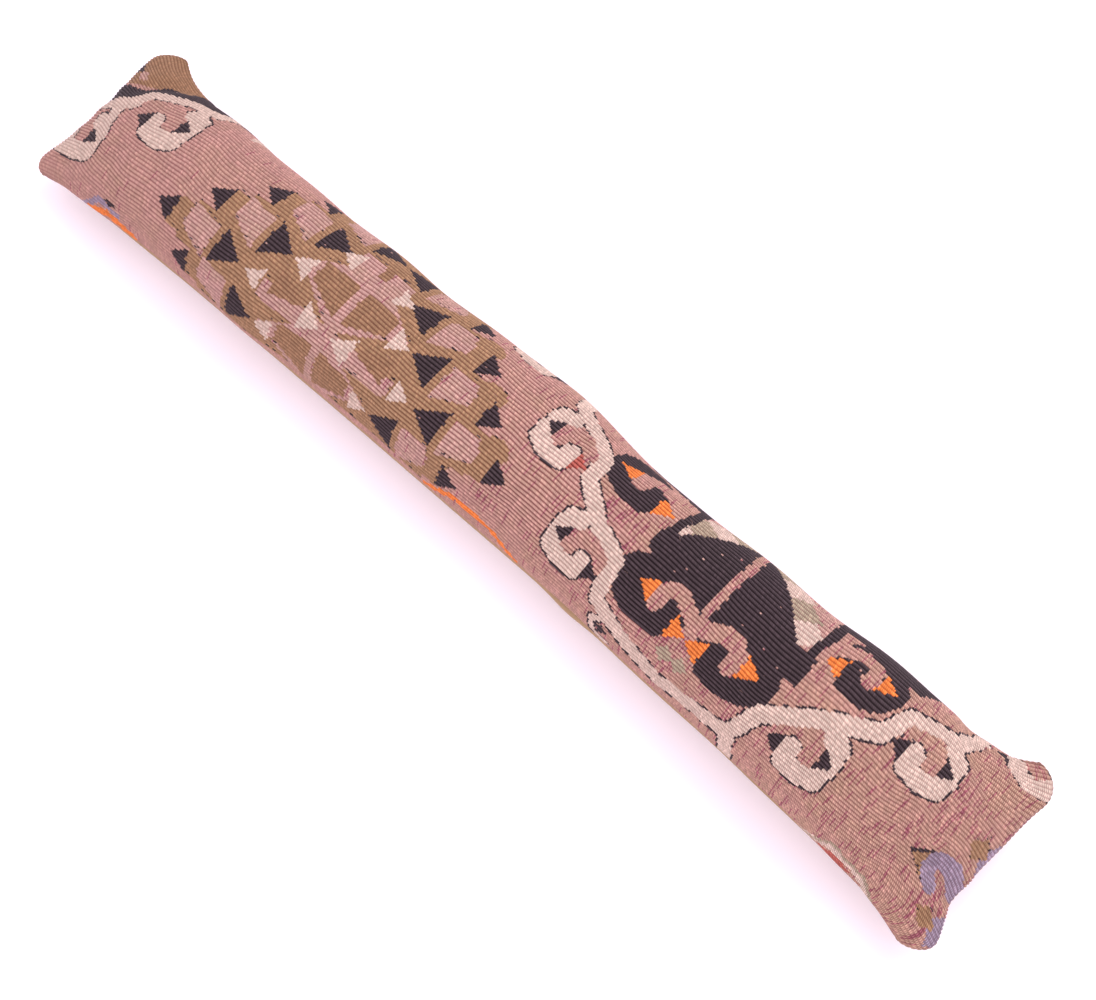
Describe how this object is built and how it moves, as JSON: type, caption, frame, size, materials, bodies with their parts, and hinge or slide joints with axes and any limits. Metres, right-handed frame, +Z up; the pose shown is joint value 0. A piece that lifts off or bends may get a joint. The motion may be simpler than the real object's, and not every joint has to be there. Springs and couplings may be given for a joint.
{
  "type": "draught excluder",
  "caption": "Long stuffed tube that lies along the foot of a door, with a ribbed flatwoven kilim front, a plain cotton back and flat ears at its sewn ends.",
  "frame": {"origin": "middle of the tube's length and width, on the surface that it rests on", "axes": "+X along the tube, +Y across it, +Z up out of the kilim face"},
  "size_m": [0.9115, 0.161, 0.095],
  "materials": {
    "kilim_wool": "handwoven wool kilim, ribbed, in old rose with charcoal, cream and olive-brown motifs",
    "back_cotton": "plain-woven unbleached tan cotton"
  },
  "bodies": {
    "root": {"kilim_front": "kilim_wool", "cotton_back": "back_cotton"}
  },
  "joints": []
}
